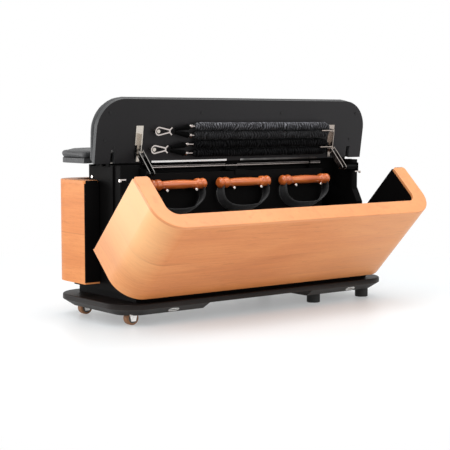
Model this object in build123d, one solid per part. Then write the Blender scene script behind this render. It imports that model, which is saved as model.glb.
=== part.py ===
from build123d import *
import math
import os

# All sizes are millimetres, X along the length, front towards -Y, floor at Z = 0.

# Base and carcass
base_half_length = 470
base_half_depth = 176
base_radius = 83
base_top = 60
base_bottom = 28
base_bevel = 28
base_board_bottom = 46
base_edge_round = 4
skirt_inner_left = -199
skirt_inner_right = 160
skirt_slope = 2
plinth_half_length = 405
plinth_half_depth = 137.3
plinth_wall = 22
floor_half_length = 421
floor_bottom = 80
floor_top = 93
panel_inner = 393
panel_outer = 421
panel_half_depth = 57
panel_top = 405
recess_top = 401.3
recess_inner = 8
recess_outer = 46
post_top = 404.5
post_inner_left = 357
post_outer = 416
post_front = 89
post_foot_front = 108
post_flare_top = 317
post_flare_bottom = 282
post_round = 6
box_half_length = 303
box_half_depth = 57
box_top = 380
box_board = 12
spine_half = 4.5
spine_top = 408.5
spine_bottom = 330

# Rolling end and feet
castor_x = -404
castor_y = 111.5
wheel_radius = 18
wheel_width = 20
hub_radius = 13
axle_radius = 3
axle_clearance = 0.05
fork_plate = 2
fork_gap = 1
fork_top_width = 34
fork_bottom_width = 13
well_half_x = 21
well_half_y = 29
foot_radius = 19
foot_places = (414, 223)
foot_y = 110
ring_places = (-306, 318)
ring_length = 32
ring_width = 15
ring_wall = 3.5
ring_thick = 2

# Shells, drawn closed
shell_half_length = 469
shell_depth = 175.5
shell_gap = 1.5
shell_radius = 74
shell_wall = 37
shell_end_wall = 44
end_cap = 2
open_past = 20
shell_skin = 6
shell_bottom = 96
shell_top = 365
rim_width = 45
rim_thick = 8
foot_rim_thick = 4
rim_round = 2
rim_end_round = 10
tilt_angle = 43.69
tilt_y = 137.9
tilt_z = 97.5

# Long hinge of each shell
leaf_thick = 1.2
leaf_depth = 20
knuckle_radius = 3
knuckle_length = 38
knuckle_gap = 0.6
knuckle_count = 19
hinge_pin_radius = 1.2
hinge_pin_clearance = 0.08
rebate_depth = 3.5
rebate_top = 102.5
rebate_half = 366
leaf_clear = 3.2

# Lids, drawn closed
lid_half_length = 466.6
lid_gap = 6
lid_depth = 167.3
lid_under = 409
lid_board = 13
lid_radius = 82
lid_angle = 81.54
pole_y = 24.6
pole_z = 430.57
cushion_levels = [(13, 2), (19, 0), (26, 0.5), (31, 3.5), (34, 10), (35.5, 26)]
cushion_rear_radius = 9
notch_inner = 406.5
notch_outer = 419.5
notch_depth = 34
pocket_inner = 402
pocket_outer = 424
pocket_top = 441
pocket_depth = 48
ear_thick = 2.5
ear_top = 438
ear_half = 14
pivot_radius = 3.5
pivot_clearance = 0.06
tongue_inner = 410
tongue_outer = 416
tongue_radius = 7.5
tongue_foot = 3
seat_side = 1.5
seat_front = 20
seat_rear = 15
strip_runs = [(-292, -42), (6, 292)]
strip_width = 5
strip_thick = 1.5

# Lid stays
plate_inner = 326
plate_outer = 348
plate_thick = 2
plate_start = 47
plate_tail_start = 4
tail_side = 6.5
plate_end = 98
flange_depth = 15
flange_start = 18
flange_end = 78
stay_pin_s = 30
stay_pin_n = 10
stay_pin_radius = 2
pin_spare = 1.5
stay_q_y = 108
stay_q_z = 384
bar_places = (328.5, 343)
bar_thick = 2.5
bar_half_width = 6.6
slot_half_width = 4.5
slot_start = 60.5
slot_end = 75
bar_end = 75
stay_pivot_radius = 3
stay_pivot_clearance = 0.06
boss_radius = 6
bracket_thick = 2
bracket_half = 6
relief_side = 1.5
relief_start = 8
relief_end = 46
relief_depth = 12

# Bands on the front lid
strand_rows = {"upper": (97, 73), "lower": (49, 25)}
strand_radius = 11.2
strand_waist = 9.6
strand_neck = 7.5
strand_height = 12
strand_start = -168
strand_end = 299
rib_count = 44
rib_shape = [(0.15, strand_waist), (0.35, strand_radius), (0.65, strand_radius), (0.85, strand_waist)]
turn_radius = 12
ferrule_radius = 6
ferrule_x = {"upper": -182, "lower": -190}
cone_start_radius = 8
cone_end_radius = 4
cone_gap = 0.3
ferrule_clear = 2
cone_meet_x = {"upper": -232, "lower": -241}
hook_centre_x = {"upper": -284, "lower": -293}
hook_radius = 11.8
hook_bar = 3.4
hook_length = 31
hook_end_radius = 5.5
prong_length = 13
prong_angle = 40
prong_offset = 5.5
post_shift = 3
post_radius = 5
post_height = 16
finger_radius = 2
finger_foot = 3.5
finger_start = 278
finger_height = 25
screw_radius = 3.5
screw_height = 1.2
screw_places = [(-430, 132), (-140, 132), (140, 132), (430, 132), (415, 55), (-440, 60), (-410, 40)]

# Rod and handles
rod_radius = 5.2
rod_y = -12
rod_z = 394.5
rod_left = -274
rod_right = 331
rod_plate = 3
rod_plate_half = 6
block_left = -23
block_right = 17
block_top = 399.8
block_front = 17
lip_thick = 3
lip_drop = 10
grip_pitch = 223
grip_centre = -7
grip_length = 182
grip_turning = [(0, 0), (0, 7), (-3, 12), (-8, 14.5), (-14, 14), (-17, 11.8), (-19, 14), (-23, 14.6),
                (-33, 14.2), (-35, 11.5), (-39, 10), (-49, 10.6), (-70, 11.6), (-91, 12)]
grip_y = -77
grip_z = 351
peg_offset = 47.5
peg_radius = 3.4
peg_drop = 14.6
peg_front = 92
peg_tip_radius = 4.4
peg_tip_length = 6
peg_shift = 4
strap_width = 26
strap_thick = 2.6
strap_leg = 78
strap_top = -6
strap_knee = (82, -32)
strap_radii = [45, 60, 60, 45]
strap_bottom_half = 46
strap_bottom = 279
slot_half = 2.6
slot_top = -5.5
slot_reach = 16
catch_z = 369
catch_inner = 402
catch_outer = 423
catch_thick = 2
catch_half = 1.6
catch_hook = 5
stud_y = 40
stud_z = 373
stud_radius = 3.5
stud_height = 2

parts = {}


def box(x0, x1, y0, y1, z0, z1):
    """Block between two corners."""
    size = Box(x1 - x0, y1 - y0, z1 - z0)
    return Pos((x0 + x1) / 2, (y0 + y1) / 2, (z0 + z1) / 2) * size


def bar_x(x0, x1, y, z, radius):
    """Round bar along X."""
    return Pos((x0 + x1) / 2, y, z) * Rot(0, 90, 0) * Cylinder(radius, x1 - x0)


def bar_y(x, y0, y1, z, radius):
    """Round bar along Y."""
    return Pos(x, (y0 + y1) / 2, z) * Rot(90, 0, 0) * Cylinder(radius, y1 - y0)


def plan_face(half, rear, front, radius, rear_radius=0):
    """Plan outline with a straight rear edge and two rounded front corners."""
    side = math.sqrt(0.5)
    right = [(half, rear), (half, front + radius), (half - radius, front)]
    centre = (half - radius, front + radius)
    middle = (centre[0] + radius * side, centre[1] - radius * side)
    edges = []
    for sign in (1, -1):
        corner, start, end = [(sign * x, y) for x, y in right]
        edges.append(ThreePointArc(start, (sign * middle[0], middle[1]), end))
        if rear_radius:
            top = (sign * half, rear - rear_radius)
            inner = (sign * (half - rear_radius), rear)
            bend = (sign * (half - rear_radius * (1 - side)), rear - rear_radius * (1 - side))
            edges.append(ThreePointArc(inner, bend, top))
            edges.append(Line(top, start))
        else:
            edges.append(Line(corner, start))
    edges.append(Line((half - radius, front), (-half + radius, front)))
    edges.append(Line((half - rear_radius, rear), (-half + rear_radius, rear)))
    return make_face(edges)


def round_plan(half_x, half_y, radius, z0, z1):
    """Board with four rounded plan corners."""
    return Pos(0, 0, z0) * extrude(RectangleRounded(2 * half_x, 2 * half_y, radius), z1 - z0)


def mirrored(part):
    """Copy on the other side of the long middle plane."""
    return mirror(part, about=Plane.XZ)


def other_end(part):
    """Copy at the other end of the bench."""
    return mirror(part, about=Plane.YZ)


def pair(part):
    """The same piece at both ends of the bench."""
    return Compound([part, other_end(part)])


def tilted(part):
    """Front shell piece moved from closed to open."""
    return part.rotate(Axis((0, -tilt_y, tilt_z), (1, 0, 0)), tilt_angle)


def lifted(part):
    """Front lid piece moved from closed to open."""
    return part.rotate(Axis((0, -pole_y, pole_z), (1, 0, 0)), -lid_angle)


def keep(name, part):
    parts[name] = part


# Base board and the two thicker ends below it
base = round_plan(base_half_length, base_half_depth, base_radius, base_board_bottom, base_top)
base = fillet(base.faces().sort_by(Axis.Z)[-1].edges(), base_edge_round)
keep("base_board", base)
upper = RectangleRounded(2 * base_half_length, 2 * base_half_depth, base_radius)
lower = RectangleRounded(2 * (base_half_length - base_bevel), 2 * (base_half_depth - base_bevel),
                         base_radius - base_bevel)
skirt = loft([Pos(0, 0, base_bottom) * lower, Pos(0, 0, base_board_bottom) * upper], ruled=True)
for sign in (-1, 1):
    skirt -= box(castor_x - well_half_x, castor_x + well_half_x, sign * castor_y - well_half_y,
                 sign * castor_y + well_half_y, base_bottom, base_board_bottom)
arch = Polyline((skirt_inner_left, base_board_bottom), (skirt_inner_left - skirt_slope, base_bottom),
                (skirt_inner_right + skirt_slope, base_bottom), (skirt_inner_right, base_board_bottom), close=True)
skirt -= extrude(Plane.XZ * make_face(arch), base_half_depth, both=True)
keep("base_ends", skirt)

# Plinth frame and carcass floor
plinth = box(-plinth_half_length, plinth_half_length, -plinth_half_depth, plinth_half_depth,
             base_top, floor_bottom)
plinth -= box(-plinth_half_length + plinth_wall, plinth_half_length - plinth_wall,
              -plinth_half_depth + plinth_wall, plinth_half_depth - plinth_wall,
              base_top, floor_bottom)
keep("plinth_frame", plinth)
keep("carcass_floor", box(-floor_half_length, floor_half_length, -plinth_half_depth,
                          plinth_half_depth, floor_bottom, floor_top))

# End panels and front posts
panel = box(panel_inner, panel_outer, -panel_half_depth, panel_half_depth, floor_top, panel_top)
outline = Polyline((-panel_half_depth, floor_top), (-post_foot_front, floor_top),
                   (-post_foot_front, post_flare_bottom), (-post_front, post_flare_top),
                   (-post_front, post_top), (-panel_half_depth, post_top), close=True)
seat = box(panel_inner + seat_side, panel_outer - seat_side, -pole_y - seat_front, -pole_y + seat_rear,
           recess_top - tongue_foot, recess_top)
recess = box(panel_inner, panel_outer, -recess_outer, -recess_inner, recess_top, panel_top)
panel -= [seat, mirrored(seat), recess, mirrored(recess)]
keep("end_panel_right", panel)
keep("end_panel_left", other_end(panel))
posts = []
for inner in (panel_inner, post_inner_left):
    post = Pos(inner, 0, 0) * extrude(Plane.YZ * make_face(outline), post_outer - inner)
    front_edges = post.faces().filter_by(Axis.Y).sort_by(Axis.Y)[1].edges().filter_by(Axis.Z)
    posts.append(fillet(front_edges, post_round))
keep("front_posts", Compound([posts[0], other_end(posts[1])]))

# Catch plates on the front posts
catch = box(catch_inner, catch_outer, -post_front - catch_thick, -post_front, catch_z - catch_half,
            catch_z + catch_half)
catch += box(catch_outer - catch_hook, catch_outer, -post_front - catch_hook, -post_front,
             catch_z - catch_hook, catch_z + catch_half)
stud = bar_x(panel_outer, panel_outer + stud_height, stud_y, stud_z, stud_radius)
keep("shell_catches", Compound([catch, other_end(catch), stud, other_end(stud)]))

# Centre box
inner_x = box_half_length - box_board
inner_y = box_half_depth - box_board
front_panel = box(-box_half_length, box_half_length, -box_half_depth, -inner_y, floor_top, box_top)
end_board = box(inner_x, box_half_length, -inner_y, inner_y, floor_top, box_top)
keep("box_front", front_panel)
keep("box_rear", mirrored(front_panel))
keep("box_ends", Compound([end_board, other_end(end_board)]))
keep("box_top", box(-inner_x, inner_x, -inner_y, inner_y, box_top - box_board, box_top))

# Upright board under the gap between the lids, deeper beyond the centre box
spine = box(-panel_inner, panel_inner, -spine_half, spine_half, box_top, spine_top)
deep_end = box(box_half_length, panel_inner, -spine_half, spine_half, spine_bottom, box_top)
ridge = box(panel_inner, panel_outer, -spine_half, spine_half, panel_top, spine_top)
spine += [deep_end, other_end(deep_end), ridge, other_end(ridge)]
keep("spine_board", spine)

# Rod over the centre box, its end brackets and its middle block
keep("rod", bar_x(rod_left, rod_right, rod_y, rod_z, rod_radius))
left_bracket = box(rod_left - rod_plate, rod_left, rod_y - rod_plate_half, rod_y + rod_plate_half,
                   box_top, block_top)
right_bracket = box(inner_x - rod_plate, inner_x, rod_y - rod_plate_half, rod_y + rod_plate_half,
                    box_top, block_top)
right_bracket -= bar_x(rod_left, rod_right, rod_y, rod_z, rod_radius)
keep("rod_brackets", Compound([left_bracket, right_bracket]))
lip_front = -box_half_depth - lip_thick
block = box(block_left, block_right, -block_front, -spine_half, box_top, block_top)
block += box(block_left, block_right, lip_front, -spine_half, box_top, box_top + lip_thick)
block += box(block_left, block_right, lip_front, -box_half_depth, box_top - lip_drop, box_top + lip_thick)
block -= bar_x(rod_left, rod_right, rod_y, rod_z, rod_radius)
keep("rod_block", block)

# Handles resting on pegs, each with a webbing loop
half_profile = [(grip_length / 2 + x, r) for x, r in grip_turning]
profile = [(-x, r) for x, r in half_profile] + half_profile[-2::-1]
grip = revolve(make_face(Polyline(*profile, close=True)), Axis.X)
peg = bar_y(0, -peg_front, -box_half_depth, grip_z - peg_drop, peg_radius)
peg += bar_y(0, -peg_front, -peg_front + peg_tip_length, grip_z - peg_drop, peg_tip_radius)
peg = fillet(peg.faces().sort_by(Axis.Y)[0].edges(), peg_radius / 2)
strap_half = [(strap_leg, strap_top), strap_knee, (strap_bottom_half, strap_bottom - grip_z)]
strap_points = strap_half + [(-x, z) for x, z in reversed(strap_half)]
strap_path = FilletPolyline(*strap_points, radius=strap_radii)
strap_start = Plane(origin=(strap_leg, 0, strap_top), x_dir=(0, 1, 0),
                    z_dir=(strap_knee[0] - strap_leg, 0, strap_knee[1] - strap_top))
strap = sweep(strap_start * Rectangle(strap_width, strap_thick), Plane.XZ * strap_path)
slot = box(strap_leg - slot_half, strap_leg + slot_half, -slot_reach, slot_reach, -slot_reach, slot_top)
grip -= [slot, other_end(slot)]
pegs = []
for index, name in enumerate(("left", "middle", "right")):
    place = Pos(grip_centre + (index - 1) * grip_pitch, grip_y, grip_z)
    keep("handle_" + name, place * grip)
    keep("handle_strap_" + name, place * strap)
    middle = grip_centre + peg_shift + (index - 1) * grip_pitch
    pegs += [Pos(middle + sign * peg_offset, 0, 0) * peg for sign in (-1, 1)]
keep("handle_pegs", Compound(pegs))

# Castors
plate_y = wheel_width / 2 + fork_gap
fork_shape = Polyline((-fork_top_width / 2, base_board_bottom), (fork_top_width / 2, base_board_bottom),
                      (fork_bottom_width / 2, wheel_radius - 8), (-fork_bottom_width / 2, wheel_radius - 8),
                      close=True)
fork_side = extrude(Plane.XZ * make_face(fork_shape), -fork_plate)
fork_foot = box(-fork_top_width / 2, fork_top_width / 2, fork_plate, fork_plate + 12,
                base_board_bottom - fork_plate, base_board_bottom)
fork_half = Pos(0, plate_y, 0) * (fork_side + fork_foot)
fork_half -= bar_y(0, -60, 60, wheel_radius, axle_radius)
axle = bar_y(0, -plate_y - fork_plate - 2, plate_y + fork_plate + 2, wheel_radius, axle_radius)
hub = Rot(90, 0, 0) * Cylinder(hub_radius, wheel_width)
hub -= Rot(90, 0, 0) * Cylinder(axle_radius + axle_clearance, wheel_width)
tread = Rot(90, 0, 0) * (Cylinder(wheel_radius, wheel_width) - Cylinder(hub_radius, wheel_width))
tread = fillet(tread.edges().filter_by(GeomType.CIRCLE).sort_by(SortBy.LENGTH)[-2:], 3)
forks = []
for name, sign in (("front", -1), ("rear", 1)):
    spot = Pos(castor_x, sign * castor_y, 0)
    forks += [spot * fork_half, spot * mirrored(fork_half), spot * axle]
    keep("castor_hub_" + name, spot * Pos(0, 0, wheel_radius) * hub)
    keep("castor_tread_" + name, spot * Pos(0, 0, wheel_radius) * tread)
keep("castor_forks", Compound(forks))

# Rubber feet below the base and oval rings on its bevelled edge
foot = Pos(0, 0, base_bottom / 2) * Cylinder(foot_radius, base_bottom)
foot = fillet(foot.faces().sort_by(Axis.Z)[0].edges(), 2)
feet = [Pos(x, sign * foot_y, 0) * foot for x in foot_places for sign in (-1, 1)]
keep("feet", Compound(feet))
bevel_drop = base_board_bottom - base_bottom
bevel_middle = (0, -base_half_depth + base_bevel / 2, base_bottom + bevel_drop / 2)
bevel_face = Plane(origin=bevel_middle, x_dir=(1, 0, 0), z_dir=(0, -bevel_drop, -base_bevel))
ring = SlotOverall(ring_length, ring_width)
ring -= SlotOverall(ring_length - 2 * ring_wall, ring_width - 2 * ring_wall)
ring = extrude(bevel_face * ring, ring_thick)
rings = [Pos(x, 0, 0) * side for x in ring_places for side in (ring, mirrored(ring))]
keep("edge_rings", Compound(rings))

# Shell pieces, closed
rim_rear = -shell_gap
rebate = box(-rebate_half, rebate_half, -tilt_y - 0.6 - rebate_depth, -tilt_y - 0.6, shell_bottom, rebate_top)


def shell_ring(outer_inset, inner_inset, z0, z1, end_inset=None):
    """U-shaped wall between two insets from the shell's outer face."""
    outer = plan_face(shell_half_length - outer_inset, rim_rear, -shell_depth + outer_inset,
                      shell_radius - outer_inset)
    inner = plan_face(shell_half_length - (end_inset or inner_inset), open_past, -shell_depth + inner_inset,
                      shell_radius - inner_inset)
    return Pos(0, 0, z0) * extrude(outer - inner, z1 - z0)


wall_bottom = shell_bottom + foot_rim_thick
wall_top = shell_top - rim_thick
skin = shell_ring(0, shell_skin, wall_bottom, wall_top)
core = shell_ring(shell_skin, shell_wall, wall_bottom, wall_top, shell_end_wall) - rebate
top_rim = shell_ring(0, rim_width, wall_top, shell_top)
end_edges = top_rim.faces().filter_by(Axis.Y).sort_by(Axis.Y)[-2:].edges().filter_by(Axis.Z)
top_rim = fillet(end_edges, rim_end_round)
top_rim = fillet(top_rim.faces().sort_by(Axis.Z)[-1].edges(), rim_round)
bottom_rim = shell_ring(0, shell_wall, shell_bottom, wall_bottom, shell_end_wall) - rebate

# Black caps on the ends of the walls, one piece with the core
cap_zone = box(-shell_half_length, shell_half_length, rim_rear - end_cap, rim_rear, shell_bottom, shell_top)
for piece in (skin, top_rim):
    core += piece & cap_zone
skin -= cap_zone
top_rim -= cap_zone

# Long hinge: moving leaf, fixed leaf and pin
hinge_half = knuckle_count * knuckle_length / 2
leaf_front = -tilt_y - leaf_thick / 2
leaf_back = -tilt_y + leaf_thick / 2
moving_leaf = box(-hinge_half, hinge_half, leaf_front, leaf_back, tilt_z + leaf_clear, tilt_z + leaf_depth)
fixed_leaf = box(-hinge_half, hinge_half, leaf_front, leaf_back, tilt_z - leaf_depth, tilt_z - leaf_clear)
for index in range(knuckle_count):
    x0 = -hinge_half + index * knuckle_length + knuckle_gap / 2
    x1 = x0 + knuckle_length - knuckle_gap
    knuckle = bar_x(x0, x1, -tilt_y, tilt_z, knuckle_radius)
    if index % 2:
        moving_leaf += knuckle + box(x0, x1, leaf_front, leaf_back, tilt_z, tilt_z + leaf_clear + 1)
    else:
        fixed_leaf += knuckle + box(x0, x1, leaf_front, leaf_back, tilt_z - leaf_clear - 1, tilt_z)
moving_leaf -= bar_x(-hinge_half, hinge_half, -tilt_y, tilt_z, hinge_pin_radius + hinge_pin_clearance)
fixed_leaf -= bar_x(-hinge_half, hinge_half, -tilt_y, tilt_z, hinge_pin_radius)
hinge_pin = bar_x(-hinge_half, hinge_half, -tilt_y, tilt_z, hinge_pin_radius)

shell = {"skin": skin, "core": core, "top_rim": top_rim, "bottom_rim": bottom_rim, "hinge_leaf": moving_leaf}
for name, piece in shell.items():
    keep("front_shell_" + name, tilted(piece))
    keep("rear_shell_" + name, mirrored(piece))
keep("fixed_leaves", Compound([fixed_leaf, hinge_pin, mirrored(fixed_leaf), mirrored(hinge_pin)]))

# Lid board and cushion, closed
lid_front = -lid_gap - lid_depth
board = Pos(0, 0, lid_under) * extrude(plan_face(lid_half_length, -lid_gap, lid_front, lid_radius), lid_board)
sections = []
for height, inset in cushion_levels:
    face = plan_face(lid_half_length - inset, -lid_gap - inset, lid_front + inset, lid_radius - inset,
                     cushion_rear_radius)
    sections.append(Pos(0, 0, lid_under + height) * face)
cushion = loft(sections, ruled=True)
notch = box(notch_inner, notch_outer, -lid_gap - notch_depth, 0, lid_under, lid_under + lid_board)
pocket = box(pocket_inner, pocket_outer, -lid_gap - pocket_depth, 0, lid_under + lid_board, pocket_top)
cuts = [notch]
for x in bar_places:
    cuts.append(box(x - relief_side, x + bar_thick + relief_side, -lid_gap - relief_end,
                    -lid_gap - relief_start, lid_under, lid_under + relief_depth))
for cut in cuts:
    board -= [cut, other_end(cut)]
cushion -= [pocket, other_end(pocket)]

# Lid pivots: ears and pin on the lid, tongue on the end panel
pivot = bar_x(pocket_inner + 1, pocket_outer - 1, -pole_y, pole_z, pivot_radius)
for x0 in (pocket_inner + 1, pocket_outer - 1 - ear_thick):
    pivot += box(x0, x0 + ear_thick, -pole_y - ear_half, -pole_y + ear_half, lid_under + lid_board, ear_top)
tongue = box(tongue_inner, tongue_outer, -pole_y - tongue_radius, -pole_y + tongue_radius,
             recess_top - tongue_foot, pole_z)
tongue += bar_x(tongue_inner, tongue_outer, -pole_y, pole_z, tongue_radius)
tongue += seat
tongue -= bar_x(panel_inner, panel_outer, -pole_y, pole_z, pivot_radius + pivot_clearance)

# Metal strip along the lid's hinge edge, track plates of the stays
strips = [box(x0, x1, -lid_gap - strip_width, -lid_gap, lid_under - strip_thick, lid_under)
          for x0, x1 in strip_runs]
plate = box(plate_inner, plate_outer, -lid_gap - plate_end, -lid_gap - plate_start, lid_under - plate_thick,
            lid_under)
plate += box(plate_inner + tail_side, plate_outer - tail_side, -lid_gap - plate_start,
             -lid_gap - plate_tail_start, lid_under - plate_thick, lid_under)
plate_middle = (plate_inner + plate_outer) / 2
plate += box(plate_middle - plate_thick / 2, plate_middle + plate_thick / 2, -lid_gap - flange_end,
             -lid_gap - flange_start, lid_under - flange_depth, lid_under)
plate += bar_x(bar_places[0] - pin_spare, bar_places[1] + bar_thick + pin_spare, -lid_gap - stay_pin_s,
               lid_under - stay_pin_n, stay_pin_radius)

# Slotted stay bar drawn along Y from its pivot, then turned to the lid pin
closed_dy = -lid_gap - stay_pin_s + stay_q_y
closed_dz = lid_under - stay_pin_n - stay_q_z
closed_turn = math.degrees(math.atan2(closed_dz, closed_dy))
radius = math.hypot(-lid_gap - stay_pin_s + pole_y, lid_under - stay_pin_n - pole_z)
start = math.atan2(lid_under - stay_pin_n - pole_z, -lid_gap - stay_pin_s + pole_y)
turned = start - math.radians(lid_angle)
open_dy = -pole_y + radius * math.cos(turned) + stay_q_y
open_dz = pole_z + radius * math.sin(turned) - stay_q_z
open_turn = math.degrees(math.atan2(open_dz, open_dy))
stay_bar = box(0, bar_thick, 0, bar_end, -bar_half_width, bar_half_width)
stay_bar += bar_x(0, bar_thick, 0, 0, bar_half_width) + bar_x(0, bar_thick, bar_end, 0, bar_half_width)
stay_bar -= box(0, bar_thick, slot_start, slot_end, -slot_half_width, slot_half_width)
stay_bar -= bar_x(0, bar_thick, slot_start, 0, slot_half_width)
stay_bar -= bar_x(0, bar_thick, slot_end, 0, slot_half_width)
stay_bar -= bar_x(0, bar_thick, 0, 0, stay_pivot_radius + stay_pivot_clearance)
bars_closed = []
bars_open = []
for x in bar_places:
    place = Pos(x, -stay_q_y, stay_q_z)
    bars_closed.append(place * Rot(closed_turn, 0, 0) * stay_bar)
    bars_open.append(place * Rot(open_turn, 0, 0) * stay_bar)
mounts = [tongue, other_end(tongue)]
for inner in (panel_inner, post_inner_left):
    bracket = box(inner - bracket_thick, inner, -stay_q_y - bracket_half, -panel_half_depth,
                  stay_q_z - 2 * bracket_half, stay_q_z + 2 * bracket_half)
    bracket += bar_x(bar_places[1] + bar_thick + 1, inner, -stay_q_y, stay_q_z, boss_radius)
    bracket += bar_x(bar_places[0] - 1, inner, -stay_q_y, stay_q_z, stay_pivot_radius)
    mounts.append(bracket if inner == panel_inner else other_end(bracket))
mounts += [mirrored(mount) for mount in mounts]

keep("lid_mounts", Compound(mounts))
keep("front_lid_pivots", pair(lifted(pivot)))
keep("rear_lid_pivots", pair(mirrored(pivot)))
keep("front_lid_plates", pair(lifted(plate)))
keep("rear_lid_plates", pair(mirrored(plate)))
keep("front_stays", Compound(bars_open + [other_end(bar) for bar in bars_open]))
keep("rear_stays", Compound([mirrored(side) for bar in bars_closed for side in (bar, other_end(bar))]))
keep("front_lid_board", lifted(board))
keep("front_lid_cushion", lifted(cushion))
keep("front_lid_strips", lifted(Compound(strips)))
keep("rear_lid_board", mirrored(board))
keep("rear_lid_cushion", mirrored(cushion))

# Gathered sleeves of the bands: ribs with a narrow waist between them
pitch = (strand_end - strand_start) / rib_count
stations = [(strand_start, strand_neck)]
for index in range(rib_count):
    x = strand_start + index * pitch
    for share, radius in rib_shape:
        stations.append((x + share * pitch, radius))
stations.append((strand_end, strand_neck))
strand = loft([Plane(origin=(x, 0, 0), z_dir=(1, 0, 0)) * Circle(r) for x, r in stations], ruled=True)
turn_arc = ThreePointArc((0, turn_radius, 0), (turn_radius, 0, 0), (0, -turn_radius, 0))
turn_tube = sweep(Plane(origin=(0, turn_radius, 0), z_dir=(1, 0, 0)) * Circle(strand_neck), turn_arc)
band_z = lid_under - strand_height

# Snap hook: flat tapering ring with two prongs at its narrow end
hook_outer = make_hull((Circle(hook_radius) + Pos(hook_length, 0) * Circle(hook_end_radius)).edges())
hook_inner = make_hull((Circle(hook_radius - hook_bar) +
                        Pos(hook_length, 0) * Circle(hook_end_radius - hook_bar)).edges())
hook_plate = extrude(hook_outer - hook_inner, hook_bar)
for sign in (-1, 1):
    prong = Rot(0, 0, sign * prong_angle) * Box(prong_length, hook_bar, hook_bar)
    hook_plate += Pos(hook_length + prong_offset, sign * prong_offset, hook_bar / 2) * prong

ferrules = []
cones = []
hooks = []
holders = []
for row, (far, near) in strand_rows.items():
    middle_y = -lid_gap - (far + near) / 2
    places = [-lid_gap - far, -lid_gap - near]
    band = Pos(strand_end, middle_y, band_z) * turn_tube
    meet = Vector(cone_meet_x[row], middle_y, band_z)
    for y in places:
        band += Pos(0, y, band_z) * strand
        ball = Vector(ferrule_x[row], y, band_z)
        reach = strand_start - ferrule_x[row]
        shape = Polyline((-ferrule_radius, 0), (-ferrule_radius, ferrule_radius / 2),
                         (-ferrule_radius / 2, ferrule_radius), (ferrule_radius / 2, ferrule_radius),
                         (ferrule_radius, ferrule_radius / 2), (reach, ferrule_radius / 2), (reach, 0),
                         close=True)
        ferrules.append(Pos(*ball) * revolve(make_face(shape), Axis.X))
        side = cone_end_radius + cone_gap
        finish = meet + Vector(0, -side if y < middle_y else side, 0)
        toward = (finish - ball).normalized()
        start = ball + toward * (ferrule_radius + ferrule_clear)
        wide = Plane(origin=start, z_dir=toward) * Circle(cone_start_radius)
        thin = Plane(origin=finish, z_dir=toward) * Circle(cone_end_radius)
        cones.append(loft([wide, thin], ruled=True))
    keep("band_" + row, lifted(band))
    hook_x = hook_centre_x[row]
    hooks.append(Pos(hook_x, middle_y, band_z - hook_bar / 2) * hook_plate)
    post_place = Pos(hook_x - post_shift, middle_y, lid_under - post_height / 2)
    holders.append(post_place * Cylinder(post_radius, post_height))
    finger = bar_x(finger_start, plate_inner, middle_y, lid_under - finger_height, finger_radius)
    finger += box(plate_inner - finger_foot, plate_inner, middle_y - finger_foot, middle_y + finger_foot,
                  lid_under - finger_height - finger_radius, lid_under)
    holders.append(finger)
keep("band_ferrules", lifted(Compound(ferrules)))
keep("band_cones", lifted(Compound(cones)))
keep("snap_hooks", lifted(Compound(hooks)))
keep("band_holders", lifted(Compound(holders)))

# Domed screws in the lid underside
screws = [Pos(x, -lid_gap - s, lid_under - screw_height / 2) * Cylinder(screw_radius, screw_height)
          for x, s in screw_places]
keep("front_lid_screws", lifted(Compound(screws)))

os.makedirs("parts", exist_ok=True)
for name, part in parts.items():
    export_step(part, os.path.join("parts", name + ".step"))
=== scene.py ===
import bpy
import math
from mathutils import Matrix, Vector, noise


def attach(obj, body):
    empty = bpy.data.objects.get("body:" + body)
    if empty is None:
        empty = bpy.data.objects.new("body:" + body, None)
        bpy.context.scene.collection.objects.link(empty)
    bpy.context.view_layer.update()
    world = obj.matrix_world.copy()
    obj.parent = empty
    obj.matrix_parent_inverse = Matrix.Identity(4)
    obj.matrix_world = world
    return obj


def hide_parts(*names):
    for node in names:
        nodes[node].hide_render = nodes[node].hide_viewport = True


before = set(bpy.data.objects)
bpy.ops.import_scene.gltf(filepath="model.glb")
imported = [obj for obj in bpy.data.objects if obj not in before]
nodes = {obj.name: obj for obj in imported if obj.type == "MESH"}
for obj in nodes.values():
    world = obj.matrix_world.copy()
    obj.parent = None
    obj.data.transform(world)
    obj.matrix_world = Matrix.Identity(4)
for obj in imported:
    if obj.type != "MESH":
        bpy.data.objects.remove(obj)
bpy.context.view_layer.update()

# Camera of the photograph
camera_place = (-2.1032, -2.6822, 0.5256)
camera_pitch = 5.026
camera_yaw = -37.934
camera_lens = 97.34

# Joints, in metres and radians
tilt_y = -0.1379
tilt_z = 0.0975
tilt_angle = math.radians(43.69)
pole_y = -0.0246
pole_z = 0.43057
lid_angle = math.radians(81.54)

# Bands on the open lid, in metres: x along the lid, s from its hinge edge, n off its underside
lid_edge = -0.006
lid_under = 0.409
strand_rows = {"upper": (0.097, 0.073), "lower": (0.049, 0.025)}
strand_start = -0.168
strand_end = 0.299
strand_height = 0.012
strand_radius = 0.0112
strand_waist = 0.0064
strand_neck = 0.006
turn_radius = 0.012
rib_pitch = 0.0082
rib_steps = 9
sleeve_sides = 26
sleeve_taper = 0.012
turn_pinch = 0.22
sleeve_wander = 0.0009
fold_lean = 0.85
fold_drift = 0.9
fold_round = 0.55
fold_depth = 0.95
fold_vary = 0.7
sleeve_crumple = 0.0007
sleeve_seeds = {"upper": 1.7, "lower": 8.3}
ferrule_x = {"upper": -0.182, "lower": -0.190}
cone_meet_x = {"upper": -0.232, "lower": -0.241}
cone_gap = 0.008
cone_start_radius = 0.008
cone_end_radius = 0.004
cone_side = 0.0043
cone_steps = 24
cone_sides = 24
pleat_count = 6
pleat_depth = 0.07
cone_hollow = 0.05

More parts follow.
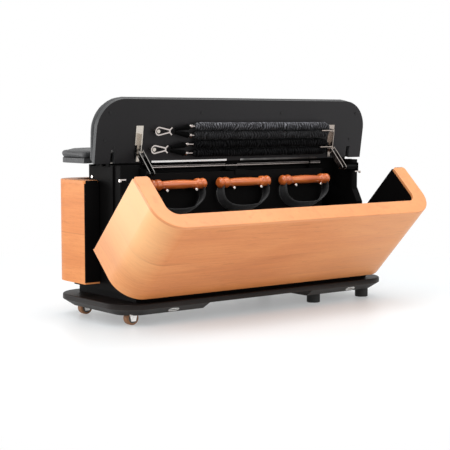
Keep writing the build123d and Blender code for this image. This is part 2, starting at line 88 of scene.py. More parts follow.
# Grips and their loops
grip_centres = {"left": -0.230, "middle": -0.007, "right": 0.216}
grip_y = -0.077
grip_z = 0.351
grip_half = 0.091
grip_sides = 40
grip_tip = 0.0004
grip_steps = 4
grip_beads = [(0.0, 0.0), (0.0002, 0.0065), (0.0018, 0.0103), (0.0045, 0.0131), (0.0082, 0.0146),
              (0.012, 0.0143), (0.0152, 0.0130), (0.017, 0.0118), (0.0182, 0.0126), (0.0195, 0.0139),
              (0.0225, 0.0146),
              (0.028, 0.0147), (0.0325, 0.0140), (0.0342, 0.0124), (0.0362, 0.0106), (0.040, 0.0100),
              (0.049, 0.0104), (0.062, 0.0112), (0.076, 0.0118), (0.091, 0.0120)]
loop_route = [(0.0775, -0.007), (0.0803, -0.019), (0.0797, -0.033), (0.0728, -0.0475), (0.059, -0.0605),
              (0.040, -0.0685), (0.018, -0.0718)]
loop_width = 0.032
loop_end_width = 0.023
loop_thick = 0.0026
loop_twist = math.radians(32)
loop_steps = 9
loop_side = 8
loop_drop = 0.07
loop_widens = 3
loop_edge = 0.55
loop_crown = 0.0012

# Cushions
cushion_grain = 0.0055
cushion_cap = 0.002
cushion_rear_cap = 0.0015
cushion_pressure = 4.0
cushion_frames = 20
cushion_hold = 0.0035
cushion_slack = 0.001
cushion_bulge = 0.0045
hinge_fade = (0.02, 0.06)
seam_fade = 0.004
board_thick = 0.013
pocket_half = (0.394, 0.432)
pocket_depth = 0.062

# Shell boards: height of the joint between them over the hinge, and half its width
joint_height = 0.128
joint_half = 0.0022

# Light: place, target, size and power of each lamp
lamps = {
    "key": ((-2.6, -1.2, 2.6), (0, 0, 0.25), (2.4, 2.4), 60),
    "left": ((-2.3, 2.1, 0.6), (-0.45, -0.15, 0.2), (1.6, 1.4), 34),
    "fill": ((1.2, -3.4, 1.6), (0, 0, 0.3), (2.6, 2.0), 30),
    "top": ((0.3, -0.4, 3.0), (0, 0, 0.2), (3.0, 2.2), 60),
}
ambient_power = 0.55
plain_white = (1, 1, 1, 1)

# Floor
floor_half = 30
floor_fade = (0.75, 1.5)
floor_lift = 0.36
floor_glow = 0.86


# Node helpers
class Paint:
    """A material built from nodes."""

    def __init__(self, name):
        self.material = bpy.data.materials.new(name)
        self.material.use_nodes = True
        self.tree = self.material.node_tree
        self.tree.nodes.clear()
        self.output = self.tree.nodes.new("ShaderNodeOutputMaterial")
        self.shader = self.tree.nodes.new("ShaderNodeBsdfPrincipled")
        self.link(self.shader.outputs[0], self.output.inputs[0])
        self.coords = self.tree.nodes.new("ShaderNodeTexCoord").outputs["Object"]

    def link(self, a, b):
        self.tree.links.new(a, b)

    def node(self, kind, **values):
        made = self.tree.nodes.new("ShaderNode" + kind)
        for key, value in values.items():
            setattr(made, key, value)
        return made

    def put(self, socket, value):
        if isinstance(value, bpy.types.NodeSocket):
            self.link(value, socket)
        else:
            socket.default_value = value

    def math(self, operation, a, b=0.0):
        made = self.node("Math", operation=operation)
        self.put(made.inputs[0], a)
        self.put(made.inputs[1], b)
        return made.outputs[0]

    def scaled(self, scale, vector=None, turn=(0, 0, 0), shift=(0, 0, 0)):
        made = self.node("Mapping")
        self.link(vector or self.coords, made.inputs["Vector"])
        made.inputs["Scale"].default_value = scale
        made.inputs["Rotation"].default_value = turn
        made.inputs["Location"].default_value = shift
        return made.outputs[0]

    def noise(self, vector, detail=3.0, rough=0.5, distortion=0.0):
        made = self.node("TexNoise")
        self.link(vector, made.inputs["Vector"])
        made.inputs["Scale"].default_value = 1.0
        made.inputs["Detail"].default_value = detail
        made.inputs["Roughness"].default_value = rough
        made.inputs["Distortion"].default_value = distortion
        return made.outputs[0]

    def cells(self, vector, scale):
        made = self.node("TexVoronoi", feature="DISTANCE_TO_EDGE")
        self.link(vector, made.inputs["Vector"])
        made.inputs["Scale"].default_value = scale
        return made.outputs["Distance"]

    def ramp(self, value, *stops):
        made = self.node("ValToRGB")
        self.link(value, made.inputs[0])
        ramp = made.color_ramp
        while len(ramp.elements) < len(stops):
            ramp.elements.new(0.5)
        for element, (place, colour) in zip(ramp.elements, stops):
            element.position = place
            element.color = (*colour, 1)
        return made.outputs[0]

    def remap(self, value, low, high, new_low, new_high):
        made = self.node("MapRange")
        self.link(value, made.inputs[0])
        for index, number in enumerate((low, high, new_low, new_high)):
            made.inputs[index + 1].default_value = number
        return made.outputs[0]

    def mix(self, share, a, b):
        made = self.node("Mix", data_type="RGBA")
        self.put(made.inputs[0], share)
        for socket, value in ((made.inputs[6], a), (made.inputs[7], b)):
            self.put(socket, (*value, 1) if isinstance(value, tuple) else value)
        return made.outputs[2]

    def bump(self, height, strength, distance):
        made = self.node("Bump")
        self.link(height, made.inputs["Height"])
        made.inputs["Strength"].default_value = strength
        made.inputs["Distance"].default_value = distance
        return made.outputs[0]

    def set(self, **values):
        for key, value in values.items():
            name = key.replace("_", " ")
            self.put(self.shader.inputs[name], value)
        return self.material


# Wood of the shells: long grain round the shell, two boards above each other, fine pores
def shell_wood(name, tilt, pale, gloss=0.35, painted_left_sheen=0.0):
    p = Paint(name)
    turned = p.scaled((1, 1, 1), turn=(-tilt, 0, 0))
    parts = p.node("SeparateXYZ")
    p.link(turned, parts.inputs[0])
    middle = tilt_y * math.sin(-tilt) + tilt_z * math.cos(-tilt)
    height = p.math("SUBTRACT", parts.outputs[2], middle)
    board = p.math("GREATER_THAN", height, joint_height)
    near = p.math("ABSOLUTE", p.math("SUBTRACT", height, joint_height))
    seam = p.remap(near, 0.0, joint_half, 1.0, 0.0)
    shifted = p.node("CombineXYZ")
    p.link(p.math("ADD", parts.outputs[0], p.math("MULTIPLY", board, 1.7)), shifted.inputs[0])
    p.link(parts.outputs[1], shifted.inputs[1])
    p.link(height, shifted.inputs[2])
    vector = shifted.outputs[0]
    broad = p.noise(p.scaled((2.2, 2.2, 11), vector), detail=4, rough=0.55, distortion=0.6)
    streak = p.noise(p.scaled((7, 7, 170), vector), detail=3, rough=0.6)
    pores = p.noise(p.scaled((60, 60, 900), vector), detail=2, rough=0.5)
    tone = p.math("ADD", p.math("MULTIPLY", broad, 0.62), p.math("MULTIPLY", streak, 0.38))
    colour = p.ramp(tone, (0.28, (0.545, 0.175, 0.052)), (0.5, (0.665, 0.242, 0.076)),
                    (0.72, (0.76, 0.32, 0.113)))
    colour = p.mix(p.math("MULTIPLY", board, 0.16), colour, (0.66, 0.21, 0.06))
    colour = p.mix(p.remap(pores, 0.56, 0.75, 0.0, 0.35), colour, (0.42, 0.125, 0.036))
    flecked = p.scaled((13, 13, 130), vector, shift=(0.4, 0.7, 0.2))
    fleck = p.noise(flecked, detail=2, rough=0.4, distortion=1.2)
    colour = p.mix(p.remap(fleck, 0.6, 0.72, 0.0, 0.3), colour, (0.40, 0.12, 0.036))
    fading = p.remap(parts.outputs[0], -0.42, -0.3, 0.5, 0.12)
    colour = p.mix(p.math("MULTIPLY", seam, fading), colour, (0.38, 0.11, 0.033))
    colour = p.mix(pale, colour, (0.95, 0.55, 0.30))
    # painted light: a pale sheen on the upper left end of the shell, and a paler tone towards its right
    # end
    if painted_left_sheen:
        left = p.remap(parts.outputs[0], -0.40, -0.468, 0.0, painted_left_sheen)
        upper = p.remap(height, 0.03, 0.17, 0.2, 1.0)
        colour = p.mix(p.math("MULTIPLY", left, upper), colour, (0.98, 0.60, 0.28))
        colour = p.mix(p.remap(parts.outputs[0], 0.0, 0.46, 0.0, 0.3), colour, (0.86, 0.47, 0.22))
    height_map = p.math("ADD", p.math("MULTIPLY", pores, 0.4), p.math("MULTIPLY", streak, 0.6))
    rough = p.remap(streak, 0.2, 0.8, 0.34, 0.5)
    return p.set(Base_Color=colour, Roughness=rough, Normal=p.bump(height_map, 0.12, 0.0004),
                 Specular_IOR_Level=gloss, Coat_Weight=gloss * 0.3, Coat_Roughness=0.2)


# Redder lacquered wood of the hand grips
def grip_wood(name):
    p = Paint(name)
    broad = p.noise(p.scaled((9, 40, 40)), detail=4, rough=0.6, distortion=0.8)
    pores = p.noise(p.scaled((40, 700, 700)), detail=2)
    colour = p.ramp(broad, (0.3, (0.40, 0.075, 0.013)), (0.52, (0.59, 0.13, 0.024)),
                    (0.72, (0.74, 0.20, 0.042)))
    colour = p.mix(p.remap(pores, 0.55, 0.75, 0.0, 0.4), colour, (0.2, 0.04, 0.012))
    return p.set(Base_Color=colour, Roughness=p.remap(broad, 0.2, 0.8, 0.26, 0.4),
                 Normal=p.bump(pores, 0.08, 0.0003), Coat_Weight=0.35, Coat_Roughness=0.1)


# Black laminate with a faint texture and an optional painted highlight: paler colour on the convex edges
def laminate(name, dark, light, rough, gloss, edge_highlight=0.0):
    p = Paint(name)
    fine = p.noise(p.scaled((900, 900, 900)), detail=2)
    cloud = p.noise(p.scaled((7, 7, 7)), detail=4, rough=0.6)
    colour = p.mix(cloud, dark, light)
    if edge_highlight:
        # painted highlight: the rounded edges are painted paler where they catch the light
        edge = p.node("NewGeometry").outputs["Pointiness"]
        edge_highlight_share = p.math("MULTIPLY", p.remap(edge, 0.52, 0.6, 0.0, edge_highlight), cloud)
        colour = p.mix(edge_highlight_share, colour, (0.10, 0.088, 0.08))
    return p.set(Base_Color=colour, Roughness=p.remap(cloud, 0.2, 0.8, rough - 0.07, rough + 0.07),
                 Normal=p.bump(fine, 0.1, 0.0004), Specular_IOR_Level=gloss)


# Grained leatherette; on a lid board it only wraps the edges and the underside is plain laminate
def leatherette(name, underside=None):
    p = Paint(name)
    grain = p.cells(p.scaled((1, 1, 1)), 520)
    fine = p.noise(p.scaled((1500, 1500, 1500)), detail=2)
    cloud = p.noise(p.scaled((9, 9, 9)), detail=4, rough=0.6)
    creases = p.remap(grain, 0.0, 0.25, 0.0, 1.0)
    height = p.math("ADD", creases, p.math("MULTIPLY", fine, 0.3))
    colour = p.mix(cloud, (0.026, 0.027, 0.028), (0.044, 0.045, 0.047))
    colour = p.mix(p.math("MULTIPLY", p.math("SUBTRACT", 1.0, creases), 0.35), colour, (0.02, 0.02, 0.021))
    gloss = 0.35
    if underside:
        facing = p.node("VectorMath", operation="DOT_PRODUCT")
        p.link(p.node("TexCoord").outputs["Normal"], facing.inputs[0])
        facing.inputs[1].default_value = underside
        flat_side = p.remap(facing.outputs["Value"], 0.9, 0.95, 0.0, 1.0)
        plain = p.mix(cloud, (0.010, 0.0092, 0.0102), (0.018, 0.0168, 0.0182))
        along = p.node("SeparateXYZ")
        p.link(p.coords, along.inputs[0])
        # painted shade: the plain underside darkens towards the left end of the lid
        plain = p.mix(p.remap(along.outputs[0], -0.4, 0.1, 0.55, 0.0), plain, (0.0035, 0.0028, 0.0032))
        colour = p.mix(flat_side, colour, plain)
        height = p.math("MULTIPLY", height, p.math("SUBTRACT", 1.0, p.math("MULTIPLY", flat_side, 0.85)))
        gloss = p.remap(flat_side, 0.0, 1.0, 0.35, 0.2)
    return p.set(Base_Color=colour, Roughness=p.remap(cloud, 0.2, 0.8, 0.42, 0.56),
                 Normal=p.bump(height, 0.25, 0.0005), Sheen_Weight=0.05, Specular_IOR_Level=gloss)


# Plated and polished metal, with an optional second colour on the right half of the bench that is painted
# light and shade, as the two halves are lit differently
def metal(name, colour, rough, brush, right=None):
    p = Paint(name)
    lines = p.noise(p.scaled(brush), detail=3, rough=0.6)
    smudge = p.noise(p.scaled((45, 45, 45)), detail=3)
    tint = colour
    # painted light and shade: the right half takes another tone than the left
    if right:
        along = p.node("SeparateXYZ")
        p.link(p.coords, along.inputs[0])
        tint = p.mix(p.remap(along.outputs[0], -0.02, 0.02, 0.0, 1.0), colour, right)
    tint = p.mix(p.math("MULTIPLY", smudge, 0.3), tint, tuple(0.6 * c for c in colour))
    sheen = p.remap(lines, 0.2, 0.8, rough * 0.7, rough * 1.5)
    return p.set(Base_Color=tint, Metallic=1.0, Roughness=sheen, Normal=p.bump(lines, 0.04, 0.0002))


# Gathered cloth, with optional painted highlights on the crests of its folds and painted shade in its
# valleys, and optional painted shade that grows from the second given height down to the first
def cloth(name, dark, light, gloss, ridge_highlight=None, shade_heights=None):
    p = Paint(name)
    weave_a = p.noise(p.scaled((1400, 420, 420)), detail=1)
    weave_b = p.noise(p.scaled((420, 1400, 1400)), detail=1)
    cloud = p.noise(p.scaled((25, 25, 25)), detail=4)
    weave = p.math("MULTIPLY", weave_a, weave_b)
    colour = p.mix(cloud, dark, light)
    colour = p.mix(p.remap(weave, 0.15, 0.4, 0.5, 0.0), colour, tuple(0.4 * c for c in dark))
    if ridge_highlight:
        fold = p.node("SeparateXYZ")
        p.link(p.node("TexCoord").outputs["UV"], fold.inputs[0])
        patch = p.noise(p.scaled((60, 110, 110)), detail=3, rough=0.6)
        # painted highlight on the fold crests and painted shade in the fold valleys
        ridge = p.remap(fold.outputs[1], 0.66, 1.0, 0.0, 1.0)
        high = p.math("MULTIPLY", ridge, p.remap(patch, 0.4, 0.62, 0.12, 1.0))
        valley_shade = p.remap(fold.outputs[1], 0.35, 0.82, 0.9, 0.0)
        colour = p.mix(valley_shade, colour, tuple(0.12 * c for c in dark))
        colour = p.mix(high, colour, ridge_highlight)
    if shade_heights:
        # painted shade: lower on the lid the cloth darkens, as the lower strand lies in shade
        height = p.node("SeparateXYZ")
        p.link(p.coords, height.inputs[0])
        colour = p.mix(p.remap(height.outputs[2], *shade_heights, 0.85, 0.0), colour, tuple(0.1 * c for c in dark))
    return p.set(Base_Color=colour, Roughness=p.remap(cloud, 0.2, 0.8, 0.62, 0.82),
                 Normal=p.bump(weave, 0.4, 0.0006), Sheen_Weight=gloss, Sheen_Roughness=0.45,
                 Specular_IOR_Level=gloss)


# Woven strap: cords along it, picks across it, a row of stitches near each edge
def strap_weave(name, dark, light):
    p = Paint(name)
    along = p.node("SeparateXYZ")
    p.link(p.node("TexCoord").outputs["UV"], along.inputs[0])
    length, across = along.outputs[0], along.outputs[1]
    cords = p.math("SINE", p.math("MULTIPLY", across, 100.0))
    waved = p.math("ADD", p.math("MULTIPLY", length, 3100.0), p.math("MULTIPLY", cords, 1.2))
    picks = p.math("SINE", waved)
    weave = p.math("ADD", p.math("MULTIPLY", cords, 0.5), p.math("MULTIPLY", picks, 0.5))
    cloud = p.noise(p.scaled((30, 30, 30)), detail=4)
    from_middle = p.math("ABSOLUTE", p.math("SUBTRACT", across, 0.5))
    edge = p.math("ABSOLUTE", p.math("SUBTRACT", from_middle, 0.38))
    stitch = p.math("MULTIPLY", p.math("LESS_THAN", edge, 0.018),
                    p.math("GREATER_THAN", p.math("SINE", p.math("MULTIPLY", length, 1250.0)), -0.3))
    colour = p.mix(cloud, dark, light)
    colour = p.mix(p.remap(weave, -1.0, 0.2, 0.6, 0.0), colour, tuple(0.35 * c for c in dark))
    colour = p.mix(p.math("MULTIPLY", stitch, 0.5), colour, tuple(2.2 * c for c in light))
    height = p.math("ADD", weave, p.math("MULTIPLY", stitch, 1.5))
    return p.set(Base_Color=colour, Roughness=p.remap(cloud, 0.2, 0.8, 0.6, 0.8),
                 Normal=p.bump(height, 0.5, 0.0004), Sheen_Weight=0.25, Sheen_Roughness=0.4,
                 Specular_IOR_Level=0.25)


# Moulded plastic and rubber
def moulded(name, dark, light, rough, gloss):
    p = Paint(name)
    grain = p.noise(p.scaled((700, 700, 700)), detail=2)
    cloud = p.noise(p.scaled((30, 30, 30)), detail=4, rough=0.6)
    return p.set(Base_Color=p.mix(cloud, dark, light),
                 Roughness=p.remap(cloud, 0.2, 0.8, rough - 0.1, rough + 0.1),
                 Normal=p.bump(grain, 0.15, 0.0004), Specular_IOR_Level=gloss)


front_wood = shell_wood("front_wood", tilt_angle, 0.0, painted_left_sheen=0.62)
rear_wood = shell_wood("rear_wood", 0.0, 0.0, 0.1)
front_rim_wood = shell_wood("front_rim_wood", tilt_angle, 0.15)
rear_rim_wood = shell_wood("rear_rim_wood", 0.0, 0.1, 0.1)
handle_wood = grip_wood("handle_wood")
base_black = laminate("base_black", (0.0048, 0.0033, 0.0029), (0.0110, 0.0080, 0.0072), 0.45, 0.11, 0.5)
carcass_black = laminate("carcass_black", (0.0020, 0.0018, 0.0018), (0.0042, 0.0038, 0.0038), 0.55, 0.045)
front_board = leatherette("front_board", (0, -math.sin(lid_angle), -math.cos(lid_angle)))
rear_board = leatherette("rear_board", (0, 0, -1))
cushion_hide = leatherette("cushion_hide")
chrome = metal("chrome", (0.62, 0.56, 0.53), 0.14, (400, 12, 12))
# painted light and shade: the plates are painted darker on the right half, the stays darker on the left
# half
plate_steel = metal("plate_steel", (0.62, 0.57, 0.51), 0.24, (60, 60, 300), (0.42, 0.36, 0.32))
stay_steel = metal("stay_steel", (0.10, 0.095, 0.09), 0.2, (60, 60, 300), (0.44, 0.39, 0.36))
steel = metal("steel", (0.90, 0.89, 0.87), 0.42, (60, 60, 400))
dark_steel = metal("dark_steel", (0.10, 0.097, 0.094), 0.3, (60, 60, 400))
rod_steel = metal("rod_steel", (0.30, 0.265, 0.25), 0.2, (400, 12, 12))
# painted shade: the strip on the right half is painted near black
alloy = metal("alloy", (0.86, 0.85, 0.84), 0.2, (8, 300, 300), (0.03, 0.028, 0.028))
# painted light and shade: the upper band gets painted highlights on its crests and painted shade on its
# lower strand
upper_cloth = cloth("upper_cloth", (0.020, 0.020, 0.022), (0.045, 0.045, 0.05), 0.12,
                    (0.19, 0.19, 0.21), (0.486, 0.512))
# painted shade: the lower band is the same cloth painted darker, as it lies in the shade of the upper band
lower_cloth = cloth("lower_cloth", (0.0012, 0.0012, 0.0014), (0.003, 0.003, 0.0034), 0.03,
                    (0.012, 0.012, 0.013))
cone_cloth = cloth("cone_cloth", (0.0012, 0.0012, 0.0012), (0.0025, 0.0025, 0.0025), 0.02)
webbing = strap_weave("webbing", (0.020, 0.020, 0.021), (0.05, 0.05, 0.051))
black_plastic = moulded("black_plastic", (0.0015, 0.0015, 0.0015), (0.003, 0.003, 0.003), 0.6, 0.06)
black_screw = moulded("black_screw", (0.003, 0.003, 0.003), (0.007, 0.007, 0.007), 0.4, 0.3)
foot_rubber = moulded("foot_rubber", (0.007, 0.007, 0.007), (0.016, 0.015, 0.014), 0.7, 0.4)
tan_tread = moulded("tan_tread", (0.20, 0.085, 0.035), (0.32, 0.15, 0.065), 0.6, 0.4)
grey_hub = moulded("grey_hub", (0.06, 0.055, 0.05), (0.1, 0.09, 0.085), 0.5, 0.4)

finishes = {
    front_wood: ["front_shell_skin", "front_shell_bottom_rim"],
    rear_wood: ["rear_shell_skin", "rear_shell_bottom_rim"],
    front_rim_wood: ["front_shell_top_rim"],
    rear_rim_wood: ["rear_shell_top_rim"],
    handle_wood: ["handle_left", "handle_middle", "handle_right"],
    base_black: ["base_board", "base_ends"],
    carcass_black: ["plinth_frame", "carcass_floor", "end_panel_left", "end_panel_right", "front_posts",
                    "box_front", "box_rear", "box_ends", "box_top", "spine_board", "front_shell_core",
                    "rear_shell_core"],
    front_board: ["front_lid_board"],
    rear_board: ["rear_lid_board"],
    cushion_hide: ["front_lid_cushion", "rear_lid_cushion"],
    chrome: ["snap_hooks", "shell_catches", "handle_pegs"],
    plate_steel: ["front_lid_plates", "rear_lid_plates", "band_holders"],
    stay_steel: ["front_stays", "rear_stays"],
    steel: ["castor_forks", "edge_rings"],
    dark_steel: ["fixed_leaves", "front_shell_hinge_leaf", "rear_shell_hinge_leaf", "front_lid_pivots",
                 "rear_lid_pivots"],
    rod_steel: ["rod", "band_ferrules"],
    alloy: ["front_lid_strips"],
    black_plastic: ["rod_block", "rod_brackets", "lid_mounts"],
    black_screw: ["front_lid_screws"],
    webbing: ["handle_strap_left", "handle_strap_middle", "handle_strap_right"],
    cone_cloth: ["band_cones"],
    upper_cloth: ["band_upper"],
    lower_cloth: ["band_lower"],
    foot_rubber: ["feet"],
    tan_tread: ["castor_tread_front", "castor_tread_rear"],
    grey_hub: ["castor_hub_front", "castor_hub_rear"],
}
for finish, names in finishes.items():
    for name in names:
        nodes[name].data.materials.clear()
        nodes[name].data.materials.append(finish)


# New pieces
def piece(name, points, faces, finish, body, node, strip=None):
    """Smooth mesh that stands for a node; strip gives each point two values for its material."""
    mesh = bpy.data.meshes.new(name)
    mesh.from_pydata(points, [], faces)
    mesh.polygons.foreach_set("use_smooth", [True] * len(mesh.polygons))
    if strip:
        layer = mesh.uv_layers.new(name="strip")
        for loop in mesh.loops:
            layer.data[loop.index].uv = strip[loop.vertex_index]
    mesh.materials.append(finish)
    made = bpy.data.objects.new(name, mesh)
    bpy.context.scene.collection.objects.link(made)
    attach(made, body)
    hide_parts(node)


def stitched(rings, first=0):
    """Faces over a row of rings with both ends closed; first is the number of the first point."""
    count = len(rings[0])
    faces = []
    for row in range(len(rings) - 1):
        for k in range(count):
            near = first + row * count
            turn = (k + 1) % count
            faces.append((near + k, near + turn, near + count + turn, near + count + k))
    faces.append(tuple(first + k for k in reversed(range(count))))
    last = first + (len(rings) - 1) * count
    faces.append(tuple(last + k for k in range(count)))
    return faces


def merged(groups):
    """Points and faces of several rows of rings in one mesh."""
    points = []
    faces = []
    for rings in groups:
        faces += stitched(rings, len(points))
        points += [point for ring in rings for point in ring]
    return points, faces


def about(y, z, angle):
    """Turn about an axis along X."""
    return Matrix.Translation((0, y, z)) @ Matrix.Rotation(angle, 4, "X") @ Matrix.Translation((0, -y, -z))


open_lid = about(pole_y, pole_z, -lid_angle)


def on_lid(x, s, n):
    """Point on the open front lid."""
    return open_lid @ Vector((x, lid_edge - s, lid_under - n))


# Gathered sleeves: one tube from the far strand round the turn to the near strand
def sleeve(row, seed):
    far, near = strand_rows[row]
    middle = (far + near) / 2
    run = strand_end - strand_start
    total = 2 * run + math.pi * turn_radius
    steps = int(total / rib_pitch * rib_steps)
    rings = []
    strip = []
    for step in range(steps + 1):
        u = total * step / steps
        if u < run:
            x, s, heading = strand_start + u, far, 0.0
        elif u > total - run:
            x, s, heading = strand_start + total - u, near, math.pi
        else:
            heading = (u - run) / turn_radius
            x = strand_end + turn_radius * math.sin(heading)
            s = middle + turn_radius * math.cos(heading)
        end = min(1.0, min(u, total - u) / sleeve_taper)
        bend = 1.0 - turn_pinch * math.sin(heading) if run < u < total - run else 1.0
        wander = sleeve_wander * noise.noise((u * 9, seed, 3.1))
        ring = []
        for k in range(sleeve_sides):
            a = 2 * math.pi * k / sleeve_sides
            lean = fold_lean * noise.noise((math.cos(a) * 0.9, math.sin(a) * 0.9, u * 42 + seed))
            drift = fold_drift * noise.noise((u * 38, seed + 5.0, 0.0))
            fold = abs(math.sin(math.pi * (u / rib_pitch + drift + lean))) ** fold_round
            vary = noise.noise((u * 55, math.cos(a) * 1.4, math.sin(a) * 1.4 + seed))
            deep = fold_depth + fold_vary * vary
            fine = noise.noise((u * 330, math.cos(a) * 3.2, math.sin(a) * 3.2 + seed))
            crumple = sleeve_crumple * fine
            radius = strand_radius - (strand_radius - strand_waist) * (1 - fold) * deep + crumple
            radius = strand_neck + (min(radius, strand_radius) - strand_neck) * math.sqrt(end)
            radius *= bend
            out = radius * math.cos(a) + wander
            ring.append(on_lid(x + out * math.sin(heading), s + out * math.cos(heading),
                               strand_height + radius * math.sin(a)))
            strip.append((u, fold))
        rings.append(ring)
    return rings, strip


for row, finish in (("upper", upper_cloth), ("lower", lower_cloth)):
    rings, strip = sleeve(row, sleeve_seeds[row])
    points, faces = merged([rings])
    piece("sleeve_" + row, points, faces, finish, "front_lid", "band_" + row, strip)

# Pleated cones between the sleeves and the hooks
cones = []
for row, (far, near) in strand_rows.items():
    middle = (far + near) / 2
    for s in (far, near):
        side = cone_side if s > middle else -cone_side
        finish_point = Vector((cone_meet_x[row], middle + side))
        start_point = Vector((ferrule_x[row], s))
        start_point += (finish_point - start_point).normalized() * cone_gap
        across = (finish_point - start_point).normalized().orthogonal()
        rings = []
        for step in range(cone_steps + 1):
            t = step / cone_steps
            centre = start_point.lerp(finish_point, t)
            radius = cone_start_radius + (cone_end_radius - cone_start_radius) * t
            ring = []
            for k in range(cone_sides):
                a = 2 * math.pi * k / cone_sides
                pleat = 1 + pleat_depth * math.sin(pleat_count * a + 2 * t) * (1 - t)
                pleat -= cone_hollow * math.sin(math.pi * t)
                offset = across * (radius * pleat * math.cos(a))
                ring.append(on_lid(centre.x + offset.x, centre.y + offset.y,
                                   strand_height + radius * pleat * math.sin(a)))
            rings.append(ring)
        cones.append(rings)
points, faces = merged(cones)
piece("pleated_cones", points, faces, cone_cloth, "front_lid", "band_cones")


# Turned grips
def smooth_row(route, share):
    """Points of a smooth line through the route, share points to each step."""
    ends = [route[0]] + route + [route[-1]]
    row = []
    for i in range(1, len(ends) - 2):
        for step in range(share):
            t = step / share
            spot = []
            for a, b, c, d in zip(ends[i - 1], ends[i], ends[i + 1], ends[i + 2]):
                spot.append(0.5 * (2 * b + (c - a) * t + (2 * a - 5 * b + 4 * c - d) * t * t
                                   + (3 * b - a - 3 * c + d) * t ** 3))
            row.append(tuple(spot))
    row.append(route[-1])
    return row


half_turning = [(grip_half - x, max(r, grip_tip)) for x, r in smooth_row(grip_beads, grip_steps)]
turning = half_turning + [(-x, r) for x, r in reversed(half_turning[:-1])]
loop_half = smooth_row(loop_route, loop_steps)
loop_points = loop_half + [(-x, z) for x, z in reversed(loop_half)]


def loop_rings():
    """Cross sections of a strap loop with length along and share across for each point."""
    rings = []
    strip = []
    total = 0.0
    last = len(loop_points) - 1
    for i, (x, z) in enumerate(loop_points):
        before = Vector(loop_points[max(i - 1, 0)])
        after = Vector(loop_points[min(i + 1, last)])
        along = (after - before).normalized()
        inward = Vector((along.y, -along.x)) * -1
        total += (Vector((x, z)) - before).length if i else 0.0
        low = min(1.0, max(0.0, -z / loop_drop))
        twist = loop_twist * low * low
        width = loop_end_width + (loop_width - loop_end_width) * min(1.0, low * loop_widens)
        ring = []
        for k in range(2 * loop_side):
            share = (k if k < loop_side else 2 * loop_side - 1 - k) / (loop_side - 1)
            top = 1 if k < loop_side else -1
            w = (share - 0.5) * width
            edge = abs(share - 0.5) * 2
            thick = top * loop_thick / 2 * (1 - loop_edge * edge ** 6) + loop_crown * (1 - edge * edge)
            y = w * math.cos(twist) - thick * math.sin(twist)
            off = w * math.sin(twist) + thick * math.cos(twist)
            ring.append((x + inward.x * off, y, z + inward.y * off))
            strip.append((total, share))
        rings.append(ring)
    return rings, strip


for name, centre in grip_centres.items():
    rings = []
    angles = [2 * math.pi * k / grip_sides for k in range(grip_sides)]
    for x, r in turning:
        rings.append([(centre + x, grip_y + r * math.cos(a), grip_z + r * math.sin(a)) for a in angles])
    points, faces = merged([rings])
    piece("grip_" + name, points, faces, handle_wood, "carcass", "handle_" + name)
    rings, strip = loop_rings()
    rings = [[(centre + x, grip_y + y, grip_z + z) for x, y, z in ring] for ring in rings]
    points, faces = merged([rings])
    piece("loop_" + name, points, faces, webbing, "carcass", "handle_strap_" + name, strip)


# Cushions swollen by a short cloth simulation, held on the board and round the hinge pockets
def settled(made):
    """Apply the modifiers of a piece."""
    mesh = bpy.data.meshes.new_from_object(made.evaluated_get(bpy.context.evaluated_depsgraph_get()))
    made.modifiers.clear()
    made.data = mesh


def on_board(point, to_closed):
    """Distance along the bench from its middle, distance from the hinge edge and height over the board."""
    closed = to_closed @ point
    return abs(closed.x), abs(closed.y) + lid_edge, closed.z - lid_under - board_thick


def from_hinge(s):
    """Share that grows from none at the hinge edge to one further out."""
    start, length = hinge_fade
    return min(1.0, max(0.0, (s - start) / length))


def cushion(node, body, to_closed):
    """Swollen copy of a cushion's solid; to_closed takes its points to the closed lid."""
    scene = bpy.context.scene
    made = bpy.data.objects.new(body + "_pad", nodes[node].data.copy())
    scene.collection.objects.link(made)
    remesh = made.modifiers.new("remesh", "REMESH")
    remesh.mode = "VOXEL"
    remesh.voxel_size = cushion_grain
    settled(made)
    start = [vertex.co.copy() for vertex in made.data.vertices]
    outward = [vertex.normal.copy() for vertex in made.data.vertices]
    board_up = to_closed.inverted().to_3x3() @ Vector((0, 0, 1))
    held = []
    for index, point in enumerate(start):
        x, s, h = on_board(point, to_closed)
        if h < cushion_hold or (pocket_half[0] < x < pocket_half[1] and s < pocket_depth):
            held.append(index)
    free = sorted(set(range(len(start))) - set(held))
    for index in free:
        made.data.vertices[index].co -= outward[index] * cushion_slack
    made.vertex_groups.new(name="held").add(held, 1.0, "REPLACE")
    cloth_sim = made.modifiers.new("cloth", "CLOTH")
    cloth_sim.settings.use_pressure = True
    cloth_sim.settings.uniform_pressure_force = cushion_pressure
    cloth_sim.settings.vertex_group_mass = "held"
    cloth_sim.settings.effector_weights.gravity = 0
    for step in range(1, cushion_frames + 1):
        scene.frame_set(step)
    settled(made)
    scene.frame_set(1)
    for index in free:
        vertex = made.data.vertices[index]
        s = on_board(start[index], to_closed)[1]
        cap = cushion_rear_cap + (cushion_cap - cushion_rear_cap) * from_hinge(s)
        moved = vertex.co - start[index]
        if moved.length > cap:
            vertex.co = start[index] + moved * (cap / moved.length)
    for index in free:
        x, s, h = on_board(start[index], to_closed)
        away = from_hinge(s) * min(1.0, (h - cushion_hold) / seam_fade)
        upright = max(0.0, outward[index].dot(board_up))
        made.data.vertices[index].co += outward[index] * cushion_bulge * away * (1 - upright ** 4)
    rounder = made.modifiers.new("rounder", "SUBSURF")
    rounder.levels = 1
    settled(made)
    made.data.polygons.foreach_set("use_smooth", [True] * len(made.data.polygons))
    made.data.materials.clear()
    made.data.materials.append(cushion_hide)
    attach(made, body)
    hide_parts(node)


cushion("front_lid_cushion", "front_lid", open_lid.inverted())
cushion("rear_lid_cushion", "rear_lid", Matrix())


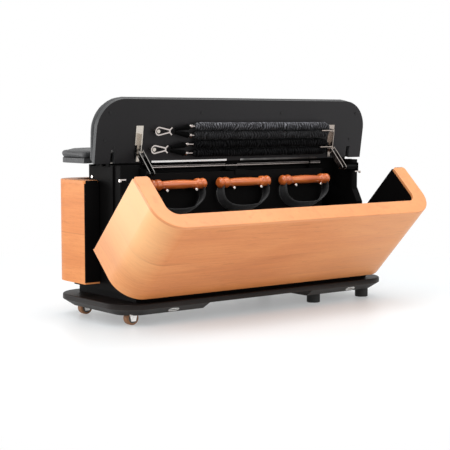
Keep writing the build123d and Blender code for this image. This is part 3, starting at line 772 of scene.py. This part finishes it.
# Camera
camera_data = bpy.data.cameras.new("camera")
camera_data.lens = camera_lens
camera_data.sensor_width = 36
camera_data.clip_end = 200
camera = bpy.data.objects.new("camera", camera_data)
bpy.context.scene.collection.objects.link(camera)
camera.location = camera_place
camera.rotation_euler = (math.radians(90 - camera_pitch), 0, math.radians(camera_yaw))
bpy.context.scene.camera = camera


# Soft studio light
def area(name, place, target, size, power):
    data = bpy.data.lights.new(name, "AREA")
    data.shape = "RECTANGLE"
    data.size, data.size_y = size
    data.energy = power
    lamp = bpy.data.objects.new(name, data)
    bpy.context.scene.collection.objects.link(lamp)
    lamp.location = place
    lamp.rotation_euler = (Vector(target) - Vector(place)).to_track_quat("-Z", "Y").to_euler()


for name, lamp in lamps.items():
    area(name, *lamp)

world = bpy.data.worlds.new("studio")
bpy.context.scene.world = world
world.use_nodes = True
tree = world.node_tree
tree.nodes.clear()
world_out = tree.nodes.new("ShaderNodeOutputWorld")
world_mix = tree.nodes.new("ShaderNodeMixShader")
ambient = tree.nodes.new("ShaderNodeBackground")
white = tree.nodes.new("ShaderNodeBackground")
ambient.inputs["Color"].default_value = plain_white
ambient.inputs["Strength"].default_value = ambient_power
white.inputs["Color"].default_value = plain_white
white.inputs["Strength"].default_value = 1.0
path = tree.nodes.new("ShaderNodeLightPath")
seen = tree.nodes.new("ShaderNodeMath")
seen.operation = "MAXIMUM"
tree.links.new(path.outputs["Is Camera Ray"], seen.inputs[0])
tree.links.new(path.outputs["Is Transmission Ray"], seen.inputs[1])
seen_glossy = tree.nodes.new("ShaderNodeMath")
seen_glossy.operation = "MAXIMUM"
tree.links.new(seen.outputs[0], seen_glossy.inputs[0])
tree.links.new(path.outputs["Is Glossy Ray"], seen_glossy.inputs[1])
tree.links.new(seen_glossy.outputs[0], world_mix.inputs[0])
tree.links.new(ambient.outputs[0], world_mix.inputs[1])
tree.links.new(white.outputs[0], world_mix.inputs[2])
tree.links.new(world_mix.outputs[0], world_out.inputs[0])

# Pale floor that turns into plain white away from the object
floor_mesh = bpy.data.meshes.new("floor")
floor_corners = [(x * floor_half, y * floor_half, 0) for x, y in ((-1, -1), (1, -1), (1, 1), (-1, 1))]
floor_mesh.from_pydata(floor_corners, [], [(0, 1, 2, 3)])
floor = bpy.data.objects.new("floor", floor_mesh)
bpy.context.scene.collection.objects.link(floor)
p = Paint("floor_white")
cloud = p.noise(p.scaled((2, 2, 2)), detail=2)
p.set(Base_Color=p.mix(cloud, (0.88, 0.93, 0.955), (0.90, 0.95, 0.975)), Roughness=0.35)
glow = p.node("Emission")
glow.inputs["Color"].default_value = plain_white
glow.inputs["Strength"].default_value = 1.0
length = p.node("VectorMath", operation="LENGTH")
p.link(p.coords, length.inputs[0])
away = p.remap(length.outputs["Value"], *floor_fade, 0.0, 1.0)
lift = p.node("MixShader")
lift.inputs[0].default_value = floor_lift
soft_glow = p.node("Emission")
soft_glow.inputs["Strength"].default_value = floor_glow
p.link(p.shader.outputs[0], lift.inputs[1])
p.link(soft_glow.outputs[0], lift.inputs[2])
blend_floor = p.node("MixShader")
p.link(away, blend_floor.inputs[0])
p.link(lift.outputs[0], blend_floor.inputs[1])
p.link(glow.outputs[0], blend_floor.inputs[2])
p.link(blend_floor.outputs[0], p.output.inputs[0])
floor.data.materials.append(p.material)

bpy.context.scene.view_settings.view_transform = "Standard"
